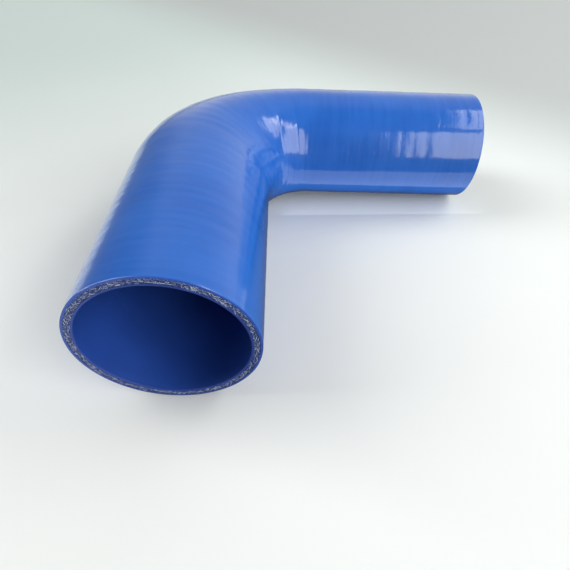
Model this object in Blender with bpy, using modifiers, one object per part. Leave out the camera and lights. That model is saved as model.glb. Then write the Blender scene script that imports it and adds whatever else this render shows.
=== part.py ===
# Ninety degree reducing elbow hose in fabric-reinforced silicone.
#
# It lies on its side, as it comes to rest: the large leg touches the floor all along, and the hose
# is rolled about that leg until the small end comes down too.
# Metres, +Z up. The large end is cut square and faces -Y. The small end faces +X.
# The origin is on the floor, under the middle of the hose.

from math import asin, atan2, cos, hypot, pi, radians, sin, tan

import bpy
from mathutils import Vector

# Driving dimensions
LARGE_BORE = 0.063                # pipe size at the large end
SMALL_BORE = 0.051                # pipe size at the small end
WALL = 0.0045                     # inner skin, plies and outer skin together
LARGE_LEG = 0.155                 # from the crossing of the two leg axes to the cut end
SMALL_LEG = 0.155
INSIDE_BEND_RADIUS = 0.026        # inner side of the bend, where the legs come closest
BEND_ANGLE = radians(90)
EDGE_BREAK = 0.0003               # the knife-cut rims, just eased

# Fineness of the surface
BEND_STEPS = 20
SIDES_AROUND = 64
EDGE_STEPS = 2

# Worked out from the driving dimensions
large_outer_radius = LARGE_BORE / 2 + WALL
small_outer_radius = SMALL_BORE / 2 + WALL
bend_radius = INSIDE_BEND_RADIUS + (large_outer_radius + small_outer_radius) / 2
tangent_length = bend_radius * tan(BEND_ANGLE / 2)


def clear_scene():
    for old in list(bpy.data.objects):
        bpy.data.objects.remove(old, do_unlink=True)


def new_collection(name):
    collection = bpy.data.collections.new(name)
    bpy.context.scene.collection.children.link(collection)
    return collection


def blue_silicone():
    material = bpy.data.materials.new("blue_silicone")
    material.use_nodes = True
    shader = material.node_tree.nodes["Principled BSDF"]
    shader.inputs["Base Color"].default_value = (0.045, 0.165, 0.60, 1.0)
    shader.inputs["Roughness"].default_value = 0.28
    shader.inputs["Metallic"].default_value = 0.0
    return material


def outer_radius(share):
    """Outer radius after a share of the bend, easing out of one leg's size into the other's."""
    eased = (1 - cos(pi * share)) / 2
    return large_outer_radius + (small_outer_radius - large_outer_radius) * eased


def stations():
    """Points down the middle of the hose, each with its outer radius.

    The leg axes cross at zero. The large leg comes up along +Y, and the bend turns towards +X.
    """
    bend_centre = Vector((bend_radius, -tangent_length, 0))
    small_way = Vector((sin(BEND_ANGLE), cos(BEND_ANGLE), 0))
    route = [(Vector((0, -LARGE_LEG, 0)), large_outer_radius)]
    for step in range(BEND_STEPS + 1):
        share = step / BEND_STEPS
        turned = BEND_ANGLE * share
        spoke = Vector((-cos(turned), sin(turned), 0))
        route.append((bend_centre + bend_radius * spoke, outer_radius(share)))
    route.append((small_way * SMALL_LEG, small_outer_radius))
    return route


def swept_skin(name, collection):
    """The outer skin: a round section swept down the stations, open at both ends."""
    route = stations()
    curve = bpy.data.curves.new(name, "CURVE")
    curve.dimensions = "3D"
    curve.bevel_depth = large_outer_radius
    curve.bevel_resolution = SIDES_AROUND // 2 - 2
    curve.use_fill_caps = False
    spline = curve.splines.new("POLY")
    spline.points.add(len(route) - 1)
    for point, (place, radius) in zip(spline.points, route):
        point.co = (*place, 1.0)
        point.radius = radius / large_outer_radius
    spline.use_smooth = True
    hose = bpy.data.objects.new(name, curve)
    collection.objects.link(hose)
    return hose


def give_wall(hose):
    """The wall grows inwards from the skin, which leaves the bores at the pipe sizes."""
    wall = hose.modifiers.new("wall", "SOLIDIFY")
    wall.thickness = WALL
    wall.offset = -1
    wall.use_even_offset = True
    wall.use_rim = True
    rims = hose.modifiers.new("cut rims", "BEVEL")
    rims.width = EDGE_BREAK
    rims.segments = EDGE_STEPS
    rims.limit_method = "ANGLE"
    rims.angle_limit = radians(60)


def resting_roll():
    """The turn about the large leg's axis that brings the small end down to the same floor."""
    reach = SMALL_LEG * sin(BEND_ANGLE)
    rim_distance = hypot(reach, small_outer_radius)
    return asin(large_outer_radius / rim_distance) - atan2(small_outer_radius, reach)


def lay_on_floor(hose):
    """Rolls the hose to its rest, then puts the origin on the floor under its middle."""
    hose.rotation_euler = (0, resting_roll(), 0)
    bpy.context.view_layer.update()
    built = hose.evaluated_get(bpy.context.evaluated_depsgraph_get())
    shape = built.to_mesh()
    places = [built.matrix_world @ vertex.co for vertex in shape.vertices]
    low = Vector([min(place[axis] for place in places) for axis in range(3)])
    high = Vector([max(place[axis] for place in places) for axis in range(3)])
    built.to_mesh_clear()
    hose.location = (-(low.x + high.x) / 2, -(low.y + high.y) / 2, -low.z)


def build_elbow_hose():
    collection = new_collection("elbow hose")
    hose = swept_skin("elbow_hose", collection)
    hose.data.materials.append(blue_silicone())
    give_wall(hose)
    lay_on_floor(hose)
    return hose


clear_scene()
build_elbow_hose()
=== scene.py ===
import random
from math import asin, atan2, cos, exp, floor, hypot, pi, radians, sin, tan

import bpy
from mathutils import Matrix, Vector, noise


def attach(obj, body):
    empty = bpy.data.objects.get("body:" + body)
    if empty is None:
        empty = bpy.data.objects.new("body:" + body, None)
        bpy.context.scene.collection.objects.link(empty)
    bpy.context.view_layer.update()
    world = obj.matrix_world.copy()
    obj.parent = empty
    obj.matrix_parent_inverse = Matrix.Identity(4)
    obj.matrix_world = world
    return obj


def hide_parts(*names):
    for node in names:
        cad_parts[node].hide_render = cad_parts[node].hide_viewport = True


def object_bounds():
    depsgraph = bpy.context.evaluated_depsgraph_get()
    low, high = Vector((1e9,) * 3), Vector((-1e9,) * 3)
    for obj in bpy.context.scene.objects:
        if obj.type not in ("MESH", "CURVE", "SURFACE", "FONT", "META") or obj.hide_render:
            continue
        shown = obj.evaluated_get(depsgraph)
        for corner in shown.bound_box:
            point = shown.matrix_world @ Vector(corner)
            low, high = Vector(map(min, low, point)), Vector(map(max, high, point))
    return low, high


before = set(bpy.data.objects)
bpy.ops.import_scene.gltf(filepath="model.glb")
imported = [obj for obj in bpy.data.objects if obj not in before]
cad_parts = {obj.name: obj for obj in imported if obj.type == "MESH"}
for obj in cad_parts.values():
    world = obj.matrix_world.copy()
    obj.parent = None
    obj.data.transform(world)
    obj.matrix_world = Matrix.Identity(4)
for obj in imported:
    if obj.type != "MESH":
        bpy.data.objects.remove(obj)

solidLow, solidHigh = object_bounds()
print("frame loaded")

# a blue silicone reducing elbow hose, in metres
# it is modelled on its own axes, with the leg axes crossing at zero, and then laid where the solid lies
hose = {
    "largeBore": 0.063,
    "smallBore": 0.051,
    "wall": 0.0045,
    "largeLeg": 0.155,            # from the crossing of the leg axes to the cut end
    "smallLeg": 0.155,
    "insideBendRadius": 0.026,
    "bendAngle": radians(90),
    "endTrim": 0.00003,           # keeps both cuts just inside the solid
    "sides": 180,
    "skinCuts": (10, 10),         # cut twice, into 121 stretches on each leg, for the wrap marks
    "skinBendSteps": 176,
    "boreCuts": (15,),
    "boreBendSteps": 48,
    "smoothAngle": radians(35),
}
largeRadius = hose["largeBore"] / 2 + hose["wall"]
smallRadius = hose["smallBore"] / 2 + hose["wall"]
bendRadius = hose["insideBendRadius"] + (largeRadius + smallRadius) / 2
tangentLength = bendRadius * tan(hose["bendAngle"] / 2)
bendLength = bendRadius * hose["bendAngle"]
largeRun = hose["largeLeg"] - hose["endTrim"] - tangentLength      # the straight part of each leg
smallRun = hose["smallLeg"] - hose["endTrim"] - tangentLength
hoseLength = largeRun + bendLength + smallRun
bendCentre = Vector((bendRadius, -tangentLength, 0))
largeEnd = Vector((0, -tangentLength - largeRun, 0))
smallEnd = Vector((tangentLength + smallRun, 0, 0))

# rolled about the large leg until the small end is down on the floor too
rimDistance = hypot(hose["smallLeg"], smallRadius)
restingRoll = asin(largeRadius / rimDistance) - atan2(smallRadius, hose["smallLeg"])
crossing = Vector((
    solidLow.x + largeRadius,
    solidLow.y + hose["largeLeg"],
    solidLow.z + largeRadius,
))


def deselectAll():
    bpy.ops.object.select_all(action="DESELECT")


def workOn(piece):
    deselectAll()
    piece.select_set(True)
    bpy.context.view_layer.objects.active = piece


def bakePlace(piece):
    workOn(piece)
    bpy.ops.object.transform_apply(location=True, rotation=True, scale=True)


def layDown(piece):
    piece.rotation_euler = (0, restingRoll, 0)
    piece.location = crossing
    bakePlace(piece)


def applyModifiers(piece):
    workOn(piece)
    for modifier in list(piece.modifiers):
        bpy.ops.object.modifier_apply(modifier=modifier.name)


def whereOnHose(place):
    # how far along the hose, then how far off its middle: towards the inside of the bend, and up
    spoke = place - bendCentre
    if spoke.x > 0:
        return largeRun + bendLength + spoke.x, -place.y, place.z
    if spoke.y < 0:
        return largeRun + spoke.y, place.x, place.z
    turned = atan2(spoke.y, -spoke.x)
    return largeRun + bendRadius * turned, bendRadius - hypot(spoke.x, spoke.y), place.z


def placeOnHose(along, inwards, up):
    if along > largeRun + bendLength:
        return Vector((bendCentre.x + along - largeRun - bendLength, -inwards, up))
    if along < largeRun:
        return Vector((inwards, bendCentre.y + along - largeRun, up))
    turned = (along - largeRun) / bendRadius
    reach = bendRadius - inwards
    return Vector((bendCentre.x - reach * cos(turned), bendCentre.y + reach * sin(turned), up))


def taper(along):
    # how much the radius has lost, easing from the large size to the small one through the bend
    share = min(max((along - largeRun) / bendLength, 0), 1)
    return (largeRadius - smallRadius) * (1 - cos(pi * share)) / 2


# node helpers

def newMaterial(name, roughness, index=1.41):
    # the index of refraction is silicone's own unless another is given
    material = bpy.data.materials.new(name)
    material.use_nodes = True
    shader = material.node_tree.nodes["Principled BSDF"]
    shader.inputs["Roughness"].default_value = roughness
    shader.inputs["IOR"].default_value = index
    return material, material.node_tree, shader


def addNode(tree, kind, settings=None, **sockets):
    node = tree.nodes.new(kind)
    for key, value in (settings or {}).items():
        setattr(node, key, value)
    for key, value in sockets.items():
        socket = node.inputs[key.replace("_", " ")]
        if isinstance(value, bpy.types.NodeSocket):
            tree.links.new(value, socket)
        else:
            socket.default_value = value
    return node


def maths(tree, operation, first, second=0.0):
    node = tree.nodes.new("ShaderNodeMath")
    node.operation = operation
    for socket, value in zip(node.inputs, (first, second)):
        if isinstance(value, bpy.types.NodeSocket):
            tree.links.new(value, socket)
        else:
            socket.default_value = value
    return node.outputs[0]


def fade(tree, value, start, end, low=0.0, high=1.0):
    node = addNode(tree, "ShaderNodeMapRange", {"interpolation_type": "SMOOTHSTEP"}, Value=value)
    node.inputs["From Min"].default_value = start
    node.inputs["From Max"].default_value = end
    node.inputs["To Min"].default_value = low
    node.inputs["To Max"].default_value = high
    return node.outputs["Result"]


def stretched(tree, vector, scale):
    return addNode(tree, "ShaderNodeMapping", Vector=vector, Scale=scale).outputs["Vector"]


def grain(tree, vector, scale, detail=2.0, rough=0.5):
    return addNode(
        tree, "ShaderNodeTexNoise", Vector=vector, Scale=scale, Detail=detail, Roughness=rough
    ).outputs["Fac"]


def blend(tree, amount, first, second):
    node = tree.nodes.new("ShaderNodeMix")
    node.data_type = "RGBA"
    for socket, value in ((node.inputs[0], amount), (node.inputs[6], first), (node.inputs[7], second)):
        if isinstance(value, bpy.types.NodeSocket):
            tree.links.new(value, socket)
        else:
            socket.default_value = value
    return node.outputs[2]


def bump(tree, height, distance, under=None):
    node = addNode(tree, "ShaderNodeBump", Height=height, Distance=distance, Strength=1.0)
    if under:
        tree.links.new(under, node.inputs["Normal"])
    return node.outputs["Normal"]


# silicone and plies

silicone = {
    "blue": (0.014, 0.120, 0.510, 1),
    "paler": (0.022, 0.141, 0.555, 1),
    "deeper": (0.009, 0.101, 0.458, 1),
    "glossTint": (1.0, 0.95, 0.80, 1),
    "skinIndex": 1.5,             # of refraction
    "skinRoughness": 0.14,
    "brushedRoughness": (0.10, 0.19),
    "filmCoat": 0.45,             # the smooth film that the wrapping tape moulds
    "filmRoughness": 0.07,
    "filmIndex": 1.45,
    "boreRoughness": 0.42,
    "cutRoughness": 0.42,
    "boreBlue": (0.019, 0.068, 0.340, 1),
    "boreDeep": (0.015, 0.056, 0.290, 1),
    "cutBlue": (0.026, 0.075, 0.360, 1),
    "cutPale": (0.040, 0.105, 0.450, 1),
    "linerBlue": (0.022, 0.058, 0.300, 1),
    "linerBlend": 0.0002,         # half the width of the change from skin to liner
    # noise, per metre
    "clouds": 28,
    "seamPatches": 50,
    "pores": 700,
    "boreClouds": 40,
    "cutPatches": 700,
    # noise along the hose and across it, per metre
    "windingGrain": (380, 22, 22),
    "brushedGrain": (900, 60, 60),
    "streakGrain": (900, 300, 300),
    "rippleGrain": (420, 45, 45),
    "mandrelGrain": (250, 900, 900),
    # bump distances
    "rippleHeight": 0.000035,
    "streakHeight": 0.00002,
    "seamHeight": -0.000014,
    "poreHeight": 0.000022,
    "mandrelHeight": 0.00001,
    "cutHeight": 0.00003,
    "seamHalfWidth": 0.035,       # as a share of one turn of tape
}
fabric = {
    "rubberRoughness": 0.62,
    "rubber": (0.012, 0.030, 0.130, 1),
    "paleRubber": (0.032, 0.066, 0.270, 1),
    "crumbs": 1500,               # noise, per metre
    "crumbHeight": 0.00006,
    "yarnRoughness": 0.6,
    "yarnIndex": 1.5,
    "wetYarn": (0.035, 0.065, 0.190, 1),         # soaked with blue rubber
    "dryYarn": (0.66, 0.72, 0.80, 1),
    "fuzzShare": 0.3,             # share of a yarn's tone that varies within it
    "fuzz": 9000,                 # noise, per metre
    "fuzzHeight": 0.00003,
}


def hoseCoordinates(tree):
    return addNode(tree, "ShaderNodeAttribute", {"attribute_name": "unrolled"}).outputs["Vector"]


def tapeSeams(tree):
    # 1 on a seam between two turns of tape, falling to 0 on both sides
    turns = addNode(tree, "ShaderNodeAttribute", {"attribute_name": "tapeTurns"}).outputs["Fac"]
    offMiddle = maths(tree, "ABSOLUTE", maths(tree, "SUBTRACT", maths(tree, "FRACT", turns), 0.5))
    return fade(tree, offMiddle, 0.5 - silicone["seamHalfWidth"], 0.5)


def skinMaterial():
    material, tree, shader = newMaterial("blueSkin", silicone["skinRoughness"], silicone["skinIndex"])
    shader.inputs["Specular Tint"].default_value = silicone["glossTint"]
    shader.inputs["Coat Weight"].default_value = silicone["filmCoat"]
    shader.inputs["Coat Roughness"].default_value = silicone["filmRoughness"]
    shader.inputs["Coat IOR"].default_value = silicone["filmIndex"]
    unrolled = hoseCoordinates(tree)
    clouds = grain(tree, unrolled, silicone["clouds"], 3)
    brushed = grain(tree, stretched(tree, unrolled, silicone["brushedGrain"]), 1, 3, 0.6)
    colour = blend(tree, fade(tree, clouds, 0.35, 0.65), silicone["deeper"], silicone["paler"])
    colour = blend(tree, fade(tree, brushed, 0.2, 0.8, 0.15, 0.75), colour, silicone["blue"])
    wound = grain(tree, stretched(tree, unrolled, silicone["windingGrain"]), 1, 2, 0.5)
    colour = blend(tree, fade(tree, wound, 0.42, 0.62, 0, 0.42), colour, silicone["paler"])
    tree.links.new(colour, shader.inputs["Base Color"])
    uneven = fade(tree, brushed, 0.3, 0.7, *silicone["brushedRoughness"])
    tree.links.new(uneven, shader.inputs["Roughness"])
    streaks = grain(tree, stretched(tree, unrolled, silicone["streakGrain"]), 1, 2, 0.6)
    faded = fade(tree, grain(tree, unrolled, silicone["seamPatches"], 1), 0.44, 0.62, 0.1, 1)
    seams = maths(tree, "MULTIPLY", tapeSeams(tree), faded)
    pores = grain(tree, unrolled, silicone["pores"], 2)
    ripples = grain(tree, stretched(tree, unrolled, silicone["rippleGrain"]), 1, 2, 0.6)
    normal = bump(tree, ripples, silicone["rippleHeight"])
    normal = bump(tree, streaks, silicone["streakHeight"], normal)
    normal = bump(tree, seams, silicone["seamHeight"], normal)
    normal = bump(tree, pores, silicone["poreHeight"], normal)
    tree.links.new(normal, shader.inputs["Normal"])
    tree.links.new(normal, shader.inputs["Coat Normal"])
    return material


def boreMaterial():
    material, tree, shader = newMaterial("blueBore", silicone["boreRoughness"])
    unrolled = hoseCoordinates(tree)
    clouds = grain(tree, unrolled, silicone["boreClouds"], 3)
    colour = blend(tree, fade(tree, clouds, 0.3, 0.7), silicone["boreBlue"], silicone["boreDeep"])
    tree.links.new(colour, shader.inputs["Base Color"])
    mandrel = grain(tree, stretched(tree, unrolled, silicone["mandrelGrain"]), 1, 2)
    tree.links.new(bump(tree, mandrel, silicone["mandrelHeight"]), shader.inputs["Normal"])
    return material


def cutMaterial():
    material, tree, shader = newMaterial("cutSilicone", silicone["cutRoughness"])
    unrolled = hoseCoordinates(tree)
    patches = grain(tree, unrolled, silicone["cutPatches"], 3)
    colour = blend(tree, fade(tree, patches, 0.3, 0.7), silicone["cutBlue"], silicone["cutPale"])
    across = stretched(tree, unrolled, (0, 1, 1))
    offAxis = addNode(tree, "ShaderNodeVectorMath", {"operation": "LENGTH"}, Vector=across).outputs["Value"]
    middle = largeRadius - hose["wall"] / 2
    liner = fade(tree, offAxis, middle + silicone["linerBlend"], middle - silicone["linerBlend"])
    colour = blend(tree, liner, colour, silicone["linerBlue"])
    tree.links.new(colour, shader.inputs["Base Color"])
    tree.links.new(bump(tree, patches, silicone["cutHeight"]), shader.inputs["Normal"])
    return material


def plyMaterial():
    material, tree, shader = newMaterial("plyRubber", fabric["rubberRoughness"])
    unrolled = hoseCoordinates(tree)
    crumbs = grain(tree, unrolled, fabric["crumbs"], 3, 0.6)
    colour = blend(tree, fade(tree, crumbs, 0.35, 0.7), fabric["rubber"], fabric["paleRubber"])
    tree.links.new(colour, shader.inputs["Base Color"])
    tree.links.new(bump(tree, crumbs, fabric["crumbHeight"]), shader.inputs["Normal"])
    return material


def yarnMaterial():
    material, tree, shader = newMaterial("plyYarn", fabric["yarnRoughness"], fabric["yarnIndex"])
    tone = addNode(tree, "ShaderNodeAttribute", {"attribute_name": "yarnTone"}).outputs["Fac"]
    place = addNode(tree, "ShaderNodeTexCoord").outputs["Object"]
    fuzz = grain(tree, place, fabric["fuzz"], 2)
    steady = maths(tree, "MULTIPLY", tone, 1 - fabric["fuzzShare"])
    lightness = maths(tree, "ADD", steady, maths(tree, "MULTIPLY", fuzz, fabric["fuzzShare"]))
    colour = blend(tree, lightness, fabric["wetYarn"], fabric["dryYarn"])
    tree.links.new(colour, shader.inputs["Base Color"])
    tree.links.new(bump(tree, fuzz, fabric["fuzzHeight"]), shader.inputs["Normal"])
    return material


blueSkin = skinMaterial()
blueBore = boreMaterial()
cutSilicone = cutMaterial()
plyRubber = plyMaterial()
plyYarn = yarnMaterial()
print("materials made")


# the hose wall

# what shows at a cut end, from the outer skin in to the bore
cutEnd = {
    "easedEdge": 0.00035,
    "easedSteps": 3,
    "weldDistance": 0.000001,
    "skinThickness": 0.00115,
    "linerThickness": 0.00090,
    "plyRecess": 0.00022,         # the knife leaves the plies just below the silicone
    "plyStepWidth": 0.00008,
}


def cutEndSteps():
    # each step is how far in from the skin it lies, and how far back from the cut
    edge = cutEnd["easedEdge"]
    turns = [radians(90) * step / cutEnd["easedSteps"] for step in range(cutEnd["easedSteps"] + 1)]
    outerEdge = [(edge * (1 - cos(turn)), edge * (1 - sin(turn))) for turn in turns]
    plyStart = cutEnd["skinThickness"]
    plyStop = hose["wall"] - cutEnd["linerThickness"]
    step = cutEnd["plyStepWidth"]
    recess = [
        (plyStart, 0),
        (plyStart + step, cutEnd["plyRecess"]),
        (plyStop - step, cutEnd["plyRecess"]),
        (plyStop, 0),
    ]
    innerEdge = [(hose["wall"] - inward, back) for inward, back in reversed(outerEdge)]
    return outerEdge + recess + innerEdge


def extrudeRing(shift):
    bpy.ops.mesh.extrude_edges_move(TRANSFORM_OT_translate={"value": shift})


def stepOverEnd(steps, end, outwards):
    # walks the selected ring over a cut end, from one step to the next
    across = Vector((1, 1, 1)) - Vector([abs(value) for value in outwards])
    for (inward, back), (nextInward, nextBack) in zip(steps, steps[1:]):
        extrudeRing(outwards * (back - nextBack))
        factor = (largeRadius - nextInward) / (largeRadius - inward)
        scale = Vector((1, 1, 1)) + across * (factor - 1)
        bpy.ops.transform.resize(value=scale, center_override=end - outwards * nextBack)


def cutRings(piece, axis, low, high, skin, cuts):
    # loop cuts across the edges that run along one leg, on the skin or in the bore
    middle = largeRadius - hose["wall"] / 2
    for number in cuts:
        bpy.ops.mesh.select_all(action="DESELECT")
        bpy.ops.object.mode_set(mode="OBJECT")
        vertices = piece.data.vertices
        for edge in piece.data.edges:
            first, second = (vertices[index].co for index in edge.vertices)
            way = second - first
            centre = (first + second) / 2
            off = hypot(centre.z, centre.x if axis == 1 else centre.y)
            lengthwise = abs(way[axis]) > 0.99 * way.length
            edge.select = lengthwise and low < centre[axis] < high and (off > middle) == skin
        bpy.ops.object.mode_set(mode="EDIT")
        bpy.ops.mesh.subdivide(number_cuts=number)


def buildWall():
    edge = cutEnd["easedEdge"]
    steps = cutEndSteps()
    deselectAll()
    bpy.ops.mesh.primitive_circle_add(
        vertices=hose["sides"], radius=largeRadius, fill_type="NOTHING",
        location=largeEnd + Vector((0, edge, 0)), rotation=(radians(90), 0, 0),
    )
    piece = bpy.context.object
    piece.name = "hoseWall"
    bakePlace(piece)
    bpy.ops.object.mode_set(mode="EDIT")
    bpy.ops.mesh.select_mode(type="EDGE")
    bpy.ops.mesh.select_all(action="SELECT")
    extrudeRing((0, largeRun - edge, 0))
    bpy.ops.mesh.spin(
        steps=hose["skinBendSteps"], angle=hose["bendAngle"], center=bendCentre, axis=(0, 0, 1)
    )
    extrudeRing((smallRun - edge, 0, 0))
    stepOverEnd(steps, smallEnd, Vector((1, 0, 0)))
    extrudeRing((edge - smallRun, 0, 0))
    bpy.ops.mesh.spin(
        steps=hose["boreBendSteps"], angle=-hose["bendAngle"], center=bendCentre, axis=(0, 0, 1)
    )
    extrudeRing((0, edge - largeRun, 0))
    stepOverEnd(steps[:0:-1], largeEnd, Vector((0, -1, 0)))
    bpy.ops.mesh.select_all(action="DESELECT")
    bpy.ops.mesh.select_non_manifold()
    bpy.ops.mesh.bridge_edge_loops()
    bpy.ops.mesh.select_all(action="SELECT")
    bpy.ops.mesh.remove_doubles(threshold=cutEnd["weldDistance"])
    bpy.ops.mesh.normals_make_consistent(inside=False)
    for skin, cuts in ((True, hose["skinCuts"]), (False, hose["boreCuts"])):
        cutRings(piece, 1, largeEnd.y + edge / 2, -tangentLength, skin, cuts)
        cutRings(piece, 0, tangentLength, smallEnd.x - edge / 2, skin, cuts)
    bpy.ops.object.mode_set(mode="OBJECT")
    return piece


# what the wrapping tape leaves in the skin when the hose is cured
wrap = {
    "fullest": 0.00003,           # the skin never reaches quite to the solid's
    "tapePitch": 0.0071,          # each turn of tape along the hose
    "tapePhase": 0.4225,
    "tapeWander": 0.0007,
    "wanderLength": 0.024,
    "crownDepth": 0.000025,       # the skin swells a little under each turn
    "crownWidth": 0.04,
    "crownShares": (0.9, 1.2),    # of that depth: the middle one, and how far it varies
    "crownStep": 3.7,             # takes each turn's noise from another place
    "swellLength": 0.013,         # slow swelling of the wall over the plies
    "swellDepth": 0.00006,
    "puckerDepth": 0.00011,       # folds squeezed up inside the bend
    "puckerGap": 0.0042,
    "puckerWidth": 0.02,
    "puckerSpread": radians(42),  # how far they reach round from the inside
    "puckerMiddle": 0.62,         # where they are deepest, and how far they reach, as shares of the bend
    "puckerReach": 0.30,
    "lobeDepth": 0.00016,         # never quite round under the tape
    "lobeSize": (0.005, 0.014),   # along the hose and around it
    # lines that bunched tape left across the inside of the bend, and the stretch that holds them:
    # how far along the hose, and degrees up from the inside
    "creasedStretch": (0.12, 0.18),
    "creasedTurn": 62,
    "creases": (
        {"depth": 0.00015, "width": 0.00042, "line": (
            (0.1610, 55), (0.1584, 44), (0.1563, 34), (0.1552, 26),
        )},
        {"depth": 0.00013, "width": 0.00042, "line": (
            (0.1754, 44), (0.1748, 30), (0.1750, 12),
        )},
        {"depth": 0.00007, "width": 0.00090, "line": (
            (0.1277, 47), (0.1340, 42), (0.1407, 34), (0.1485, 25),
            (0.1493, 10), (0.1554, -16), (0.1639, -43),
        )},
        {"depth": 0.00008, "width": 0.00050, "line": (
            (0.1600, 2), (0.1612, -14), (0.1630, -30),
        )},
    ),
}


def offLine(along, turn, line):
    # the nearest distance to a line drawn on the skin of the bend
    radius = (largeRadius + smallRadius) / 2
    squeeze = 1 - radius * cos(turn) / bendRadius
    nearest = 1.0
    for (startAlong, startTurn), (endAlong, endTurn) in zip(line, line[1:]):
        way = Vector(((endAlong - startAlong) * squeeze, radians(endTurn - startTurn) * radius))
        off = Vector(((along - startAlong) * squeeze, (turn - radians(startTurn)) * radius))
        share = min(max(off.dot(way) / way.dot(way), 0), 1)
        nearest = min(nearest, (off - way * share).length)
    return nearest


def tapeTurns(along, spot):
    # how many turns of tape lie between the large end and here
    wander = wrap["tapeWander"] * noise.noise(spot / wrap["wanderLength"])
    return (along + wander) / wrap["tapePitch"] + wrap["tapePhase"]


def skinDip(along, turn, spot, tape):
    # how far the finished skin lies under its full radius
    wound = floor(tape)
    thisTurn = Vector((wound * wrap["crownStep"], spot.y / wrap["crownWidth"], spot.z / wrap["crownWidth"]))
    middle, varied = wrap["crownShares"]
    crown = wrap["crownDepth"] * (middle + varied * noise.noise(thisTurn))
    dip = wrap["fullest"] + crown * (2 * (tape - wound) - 1) ** 2
    dip += wrap["swellDepth"] * (0.5 + 0.5 * noise.noise(spot / wrap["swellLength"]))
    lobeLength, lobeWidth = wrap["lobeSize"]
    lobes = Vector((along / lobeLength, spot.y / lobeWidth, spot.z / lobeWidth))
    dip += wrap["lobeDepth"] * (0.5 + 0.5 * noise.noise(lobes))
    squeezed = exp(-(turn / wrap["puckerSpread"]) ** 2)
    fromMiddle = along - largeRun - wrap["puckerMiddle"] * bendLength
    inBend = exp(-(fromMiddle / (wrap["puckerReach"] * bendLength)) ** 2)
    folds = Vector((along / wrap["puckerGap"], spot.y / wrap["puckerWidth"], spot.z / wrap["puckerWidth"]))
    dip += wrap["puckerDepth"] * squeezed * inBend * (0.5 + 0.5 * noise.noise(folds))
    start, stop = wrap["creasedStretch"]
    if start < along < stop and abs(turn) < radians(wrap["creasedTurn"]):
        for crease in wrap["creases"]:
            off = offLine(along, turn, crease["line"])
            dip += crease["depth"] * exp(-(off / crease["width"]) ** 2)
    return dip


def shapeWall(piece):
    # tapers the wall, prints the skin and keeps each point's place on the straight hose for the materials
    attributes = piece.data.attributes
    attributes.new("unrolled", "FLOAT_VECTOR", "POINT")
    attributes.new("tapeTurns", "FLOAT", "POINT")
    marked = zip(piece.data.vertices, attributes["unrolled"].data, attributes["tapeTurns"].data)
    for vertex, kept, wound in marked:
        along, inwards, up = whereOnHose(vertex.co)
        kept.vector = (along, inwards, up)
        radius = hypot(inwards, up)
        turn = atan2(up, inwards)
        finished = radius - taper(along)
        spot = Vector((along, largeRadius * cos(turn), largeRadius * sin(turn)))
        wound.value = tapeTurns(along, spot)
        share = 1 - (largeRadius - radius) / cutEnd["easedEdge"]
        if share > 0:
            finished -= share * skinDip(along, turn, spot, wound.value)
        vertex.co = placeOnHose(along, finished * cos(turn), finished * sin(turn))


def paintWall(piece):
    # which silicone each face shows: skin, bore, or a layer at a cut end
    for material in (blueSkin, blueBore, cutSilicone, plyRubber):
        piece.data.materials.append(material)
    unrolled = piece.data.attributes["unrolled"].data
    for face in piece.data.polygons:
        points = [unrolled[index].vector for index in face.vertices]
        along = sum(point.x for point in points) / len(points)
        depth = largeRadius - sum(hypot(point.y, point.z) for point in points) / len(points)
        fromCut = min(along, hoseLength - along)
        if fromCut > cutEnd["easedEdge"] * 0.99:
            face.material_index = 0 if depth < hose["wall"] / 2 else 1
        elif depth < cutEnd["easedEdge"] * 0.5:
            face.material_index = 0
        elif cutEnd["skinThickness"] < depth < hose["wall"] - cutEnd["linerThickness"]:
            face.material_index = 3
        else:
            face.material_index = 2


hoseWall = buildWall()
shapeWall(hoseWall)
paintWall(hoseWall)
layDown(hoseWall)
workOn(hoseWall)
bpy.ops.object.shade_smooth_by_angle(angle=hose["smoothAngle"])
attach(hoseWall, "root")
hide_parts("elbow_hose")
print("hose wall modelled,", len(hoseWall.data.polygons), "faces")


# the yarns of the plies, cut through at both ends

plies = {
    "count": 4,
    "cellLength": 0.0020,         # one crossing of the two strands
    "strand": 0.000085,           # radius of a strand
    "strandSides": 5,
    "strandSteps": 5,
    "strandSwing": 0.36,          # how far a strand leans out of its row's middle, as a share of the row
    "strandLift": 1.6,            # how high it arches, in its own radii
    "yarnEnd": 0.00013,           # radius of a yarn that the knife met end on
    "yarnEndSides": 6,
    "yarnEndPlace": (0.25, 0.04), # along the row and across it, as shares of the cell and the row
    "frayInset": 0.35,            # the frayed top of a yarn's end, in its own radii
    "frayRise": 0.3,
    "wander": 0.00012,            # how far a mark shifts
    "tilt": radians(14),          # how far it turns
    "scale": (0.75, 1.25),
    "depth": (-0.4, 0.15),        # how low or high it lies, in radii of a yarn's end
    "brightTone": (0.75, 1),
    "darkTone": (0, 0.25),
    "buried": 0.42,               # share of the marks that stay under the rubber
    "bright": 0.45,               # share of the others that the light catches
    "short": 0.00004,             # how far short of the cut they stop
    "seed": 11,
    "smoothAngle": radians(50),
}


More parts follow.
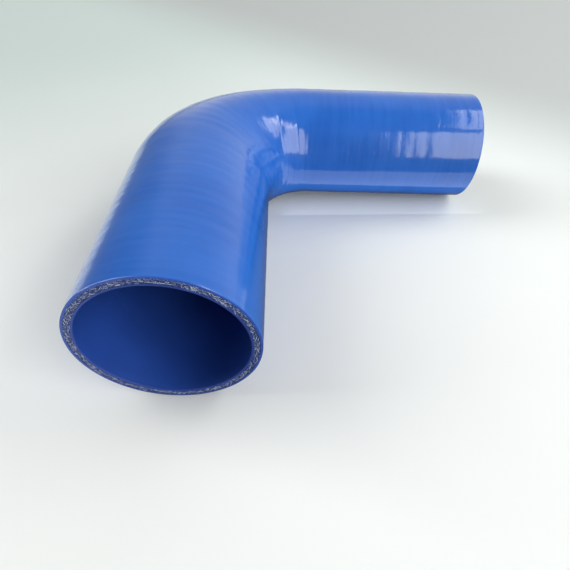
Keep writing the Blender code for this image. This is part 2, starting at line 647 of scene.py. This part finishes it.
def makeStrand(rowWidth, flipped):
    # half a crossing: a bent strand that dives under the rubber at both ends
    deselectAll()
    half = plies["cellLength"] / 2
    bpy.ops.mesh.primitive_circle_add(
        vertices=plies["strandSides"], radius=plies["strand"], fill_type="NGON",
        location=(-half, 0, 0), rotation=(0, radians(90), 0),
    )
    strand = bpy.context.object
    bakePlace(strand)
    bpy.ops.object.mode_set(mode="EDIT")
    bpy.ops.mesh.select_all(action="SELECT")
    side = -1 if flipped else 1
    steps = plies["strandSteps"]
    for step in range(steps):
        before = sin(pi * (step / steps - 0.5))
        after = sin(pi * ((step + 1) / steps - 0.5))
        lift = sin(pi * (step + 1) / steps) - sin(pi * step / steps)
        swing = side * rowWidth * plies["strandSwing"] * (after - before)
        shift = (2 * half / steps, swing, lift * plies["strand"] * plies["strandLift"])
        bpy.ops.mesh.extrude_region_move(TRANSFORM_OT_translate={"value": shift})
    bpy.ops.mesh.select_all(action="SELECT")
    bpy.ops.mesh.normals_make_consistent(inside=False)
    bpy.ops.object.mode_set(mode="OBJECT")
    return strand


def makeYarnEnd(rowWidth, side):
    # a cut yarn, slightly domed and frayed
    deselectAll()
    radius = plies["yarnEnd"]
    along, across = plies["yarnEndPlace"]
    bpy.ops.mesh.primitive_cylinder_add(
        vertices=plies["yarnEndSides"], radius=radius, depth=radius * 2,
        location=(plies["cellLength"] * along * side, rowWidth * across * side, 0),
    )
    end = bpy.context.object
    bakePlace(end)
    bpy.ops.object.mode_set(mode="EDIT")
    bpy.ops.mesh.select_all(action="DESELECT")
    bpy.ops.object.mode_set(mode="OBJECT")
    for face in end.data.polygons:
        face.select = face.normal.z > 0.9
    bpy.ops.object.mode_set(mode="EDIT")
    bpy.ops.mesh.inset(thickness=radius * plies["frayInset"], depth=radius * plies["frayRise"])
    bpy.ops.object.mode_set(mode="OBJECT")
    return end


def makeCell(rowWidth):
    parts = [
        makeStrand(rowWidth, False), makeStrand(rowWidth, True),
        makeYarnEnd(rowWidth, -1), makeYarnEnd(rowWidth, 1),
    ]
    sizes = [len(part.data.vertices) for part in parts]
    deselectAll()
    for part in parts:
        part.select_set(True)
    bpy.context.view_layer.objects.active = parts[0]
    bpy.ops.object.join()
    return bpy.context.object, sizes


def makeRow(rowRadius, rowWidth, dice):
    # one ply: the cell copied round the hose, about the world's Z for now
    cell, sizes = makeCell(rowWidth)
    copies = round(2 * pi * rowRadius / plies["cellLength"])
    cell.location = (0, rowRadius, 0)
    bakePlace(cell)
    deselectAll()
    bpy.ops.object.empty_add(rotation=(0, 0, 2 * pi / copies))
    turner = bpy.context.object
    around = cell.modifiers.new("around", "ARRAY")
    around.count = copies
    around.use_relative_offset = False
    around.use_object_offset = True
    around.offset_object = turner
    applyModifiers(cell)
    bpy.data.objects.remove(turner, do_unlink=True)
    scatterMarks(cell, sizes, copies, dice)
    cell.rotation_euler = (0, 0, dice.uniform(0, 2 * pi))
    bakePlace(cell)
    return cell


def scatterMarks(row, sizes, copies, dice):
    # no two crossings are alike: marks shift, shrink or stay buried, and each has its own tone
    tone = row.data.attributes.new("yarnTone", "FLOAT", "POINT")
    vertices = row.data.vertices
    buried = []
    start = 0
    for copy in range(copies):
        for size in sizes:
            mark = range(start, start + size)
            start += size
            centre = sum((vertices[index].co for index in mark), Vector()) / size
            shift = Vector([dice.gauss(0, plies["wander"]) for axis in range(2)] + [0])
            scale = dice.uniform(*plies["scale"])
            turn = Matrix.Rotation(dice.gauss(0, plies["tilt"]), 3, "Z")
            depth = dice.uniform(*plies["depth"]) * plies["yarnEnd"]
            caught = dice.random() < plies["bright"]
            lightness = dice.uniform(*plies["brightTone" if caught else "darkTone"])
            if dice.random() < plies["buried"]:
                buried.extend(mark)
            for index in mark:
                place = turn @ ((vertices[index].co - centre) * scale) + centre + shift
                place.z += depth
                vertices[index].co = place
                tone.data[index].value = lightness
    workOn(row)
    bpy.ops.object.mode_set(mode="EDIT")
    bpy.ops.mesh.select_mode(type="VERT")
    bpy.ops.mesh.select_all(action="DESELECT")
    bpy.ops.object.mode_set(mode="OBJECT")
    for index in buried:
        row.data.vertices[index].select = True
    bpy.ops.object.mode_set(mode="EDIT")
    bpy.ops.mesh.delete(type="VERT")
    bpy.ops.object.mode_set(mode="OBJECT")


def buildYarns(name, skinRadius, end, outwards, seed):
    dice = random.Random(seed)
    zone = hose["wall"] - cutEnd["skinThickness"] - cutEnd["linerThickness"] - 2 * cutEnd["plyStepWidth"]
    rowWidth = zone / plies["count"]
    rows = []
    for number in range(plies["count"]):
        inward = cutEnd["skinThickness"] + cutEnd["plyStepWidth"] + rowWidth * (number + 0.5)
        rows.append(makeRow(skinRadius - inward, rowWidth, dice))
    deselectAll()
    for row in rows:
        row.select_set(True)
    bpy.context.view_layer.objects.active = rows[0]
    bpy.ops.object.join()
    piece = bpy.context.object
    piece.name = name
    highest = max(vertex.co.z for vertex in piece.data.vertices)
    piece.location = end - outwards * (highest + plies["short"])
    piece.rotation_mode = "QUATERNION"
    piece.rotation_quaternion = outwards.to_track_quat("Z", "Y")
    bakePlace(piece)
    piece.rotation_mode = "XYZ"
    layDown(piece)
    piece.data.materials.clear()
    piece.data.materials.append(plyYarn)
    workOn(piece)
    bpy.ops.object.shade_smooth_by_angle(angle=plies["smoothAngle"])
    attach(piece, "root")
    print(name, "made,", len(piece.data.polygons), "faces")


buildYarns("plyYarnsLargeEnd", largeRadius, largeEnd, Vector((0, -1, 0)), plies["seed"])
buildYarns("plyYarnsSmallEnd", smallRadius, smallEnd, Vector((1, 0, 0)), plies["seed"] + 1)


# floor, light and camera

studio = {
    "floorSize": 7.0,
    "floorRoughness": 0.6,
    "floorIndex": 1.45,           # of refraction
    "floorGloss": 0.2,
    "mottle": 9,                  # noise, per metre
    "floorColour": (0.865, 0.89, 0.865, 1),
    "floorMottle": (0.845, 0.865, 0.84, 1),
    "floorFarShade": (0.58, 0.67, 0.64, 1),           # painted shade: a little greyer towards the back and to both sides
    "farFade": (-0.05, 0.50),
    "sideShare": 0.45,            # how much a step to the side counts against one to the back
    "floorGlareShade": (0.47, 0.50, 0.49, 1),           # painted shade under the window and the panels, where the floor would glare
    "frontRightFade": (0.24, 0.50),
    "backRightFade": (0.20, 0.46),
    "backgroundColour": (0.66, 0.71, 0.70, 1),
    "shadeColour": (0.17, 0.18, 0.18, 1),        # the floor in front, for all but the camera
    "shadeFade": (0.075, 0.060),                 # it fades in towards the front
    "shadeLeftFade": (-0.105, -0.085),           # and starts right of here
    "leftShadeColour": (0.20, 0.21, 0.22, 1),    # and the floor far to the left
    "leftShadeFade": (-0.34, -0.40),
    "roomLight": 0.20,            # the dim front of the room
    "backLight": 0.52,            # the pale wall behind the hose
    "lowBackLight": 0.31,         # and how much brighter that wall is near the floor
    "windowLight": 3.6,           # the tall window in front on the right, seen in the gloss
    "leftFill": 4.9,              # soft light from the left
    # where the wall, the window and the fill come in, as shares of full right, back and up
    "wallFades": (("back", 0.0, 0.6), ("right", -0.6, -0.1)),
    "lowWallFades": (("up", 0.62, 0.05),),
    "windowFades": (("right", 0.295, 0.315), ("up", 0.775, 0.745), ("back", -0.14, -0.20)),
    "fillFades": (
        ("right", -0.10, -0.25), ("up", 0.0, 0.15), ("up", 0.95, 0.70),
        ("back", 0.45, 0.35), ("back", -0.12, 0.0),
    ),
    # flat lights that the gloss shows: place, size, tilt and the strength of their surface
    "panels": {
        "overheadPanel": ((0.297, 0.039, 0.40), (0.100, 0.31), 0, 3.5),
        "farPanel": ((1.25, 0.455, 1.00), (0.90, 0.73), 0, 3.4),
        "lowPanel": ((2.05, 0.25, 1.00), (0.70, 0.32), 0, 3.4),
        "underCard": ((0.045, 0.0242, 0.0088), (0.125, 0.025), radians(135), 1.0),
    },
}


def buildFloor():
    deselectAll()
    bpy.ops.mesh.primitive_plane_add(size=studio["floorSize"], location=(0, 0, solidLow.z))
    paper = bpy.context.object
    paper.name = "studioFloor"
    bakePlace(paper)
    material, tree, shader = newMaterial("palePaper", studio["floorRoughness"], studio["floorIndex"])
    shader.inputs["Specular IOR Level"].default_value = studio["floorGloss"]
    place = addNode(tree, "ShaderNodeTexCoord").outputs["Object"]
    mottle = grain(tree, place, studio["mottle"], 2)
    colour = blend(tree, fade(tree, mottle, 0.3, 0.7), studio["floorColour"], studio["floorMottle"])
    sides = addNode(tree, "ShaderNodeSeparateXYZ", Vector=place)
    right, back = sides.outputs["X"], sides.outputs["Y"]
    aside = maths(tree, "MULTIPLY", maths(tree, "ABSOLUTE", right), studio["sideShare"])
    away = maths(tree, "ADD", back, aside)
    # painted shade: the floor turns greyer towards the back and to both sides
    colour = blend(tree, fade(tree, away, *studio["farFade"]), colour, studio["floorFarShade"])
    # painted shade on the floor under the window and the panels, where they would make it glare
    frontRight = fade(tree, maths(tree, "SUBTRACT", right, back), *studio["frontRightFade"])
    backRight = fade(tree, maths(tree, "ADD", right, back), *studio["backRightFade"])
    glareShade = maths(tree, "MAXIMUM", frontRight, backRight)
    colour = blend(tree, glareShade, colour, studio["floorGlareShade"])
    seen = addNode(tree, "ShaderNodeLightPath").outputs["Is Camera Ray"]
    unseen = maths(tree, "SUBTRACT", 1.0, seen)
    shade = maths(tree, "MULTIPLY", fade(tree, right, *studio["leftShadeFade"]), unseen)
    colour = blend(tree, shade, colour, studio["leftShadeColour"])
    shade = maths(tree, "MULTIPLY", fade(tree, back, *studio["shadeFade"]), unseen)
    shade = maths(tree, "MULTIPLY", shade, fade(tree, right, *studio["shadeLeftFade"]))
    colour = blend(tree, shade, colour, studio["shadeColour"])
    tree.links.new(colour, shader.inputs["Base Color"])
    paper.data.materials.append(material)


def fadedIn(tree, ways, fades):
    # 1 where every fade has come in, and 0 where any is still out
    share = 1.0
    for way, start, end in fades:
        share = maths(tree, "MULTIPLY", share, fade(tree, ways[way], start, end))
    return share


def buildRoomLight():
    # the light as it falls from each side: a pale wall behind, a window to the right, a fill from the left
    world = bpy.data.worlds.new("studioRoom")
    bpy.context.scene.world = world
    world.use_nodes = True
    tree = world.node_tree
    background = tree.nodes["Background"]
    direction = addNode(tree, "ShaderNodeTexCoord").outputs["Generated"]
    sides = addNode(tree, "ShaderNodeSeparateXYZ", Vector=direction)
    ways = {"right": sides.outputs["X"], "back": sides.outputs["Y"], "up": sides.outputs["Z"]}
    wall = fadedIn(tree, ways, studio["wallFades"])
    low = maths(tree, "MULTIPLY", fadedIn(tree, ways, studio["lowWallFades"]), wall)
    window = fadedIn(tree, ways, studio["windowFades"])
    fill = fadedIn(tree, ways, studio["fillFades"])
    total = fade(tree, wall, 0, 1, studio["roomLight"], studio["backLight"])
    for share, light in ((low, "lowBackLight"), (window, "windowLight"), (fill, "leftFill")):
        total = maths(tree, "ADD", total, maths(tree, "MULTIPLY", share, studio[light]))
    tree.links.new(total, background.inputs["Strength"])
    background.inputs["Color"].default_value = (1, 1, 1, 1)
    plain = addNode(tree, "ShaderNodeBackground", Color=studio["backgroundColour"], Strength=1.0)
    seen = addNode(tree, "ShaderNodeLightPath").outputs["Is Camera Ray"]
    mix = addNode(tree, "ShaderNodeMixShader", Fac=seen)
    tree.links.new(background.outputs[0], mix.inputs[1])
    tree.links.new(plain.outputs[0], mix.inputs[2])
    tree.links.new(mix.outputs[0], tree.nodes["World Output"].inputs["Surface"])


def buildPanels():
    for name, (place, size, tilt, light) in studio["panels"].items():
        deselectAll()
        bpy.ops.object.light_add(type="AREA", location=place, rotation=(tilt, 0, 0))
        panel = bpy.context.object
        panel.name = name
        panel.data.shape = "RECTANGLE"
        panel.data.size, panel.data.size_y = size
        panel.data.energy = light * pi * size[0] * size[1]
        panel.visible_camera = False


camera = {
    "spot": Vector((-0.01634, -0.1832, 0.16253)),
    "aim": Vector((-0.01602, -0.02796, 0.0)),
    "roll": radians(-0.38),
    "lens": 26.77,
    "sensor": 36,
    "nearest": 0.01,
}


def buildCamera():
    deselectAll()
    bpy.ops.object.camera_add(location=camera["spot"])
    eye = bpy.context.object
    eye.rotation_mode = "QUATERNION"
    look = (camera["aim"] - camera["spot"]).to_track_quat("-Z", "Y")
    eye.rotation_quaternion = look @ Matrix.Rotation(camera["roll"], 3, "Z").to_quaternion()
    eye.data.lens = camera["lens"]
    eye.data.sensor_width = camera["sensor"]
    eye.data.clip_start = camera["nearest"]
    bpy.context.scene.camera = eye


buildFloor()
buildRoomLight()
buildPanels()
buildCamera()
bpy.context.scene.view_settings.view_transform = "Standard"
print("studio set")
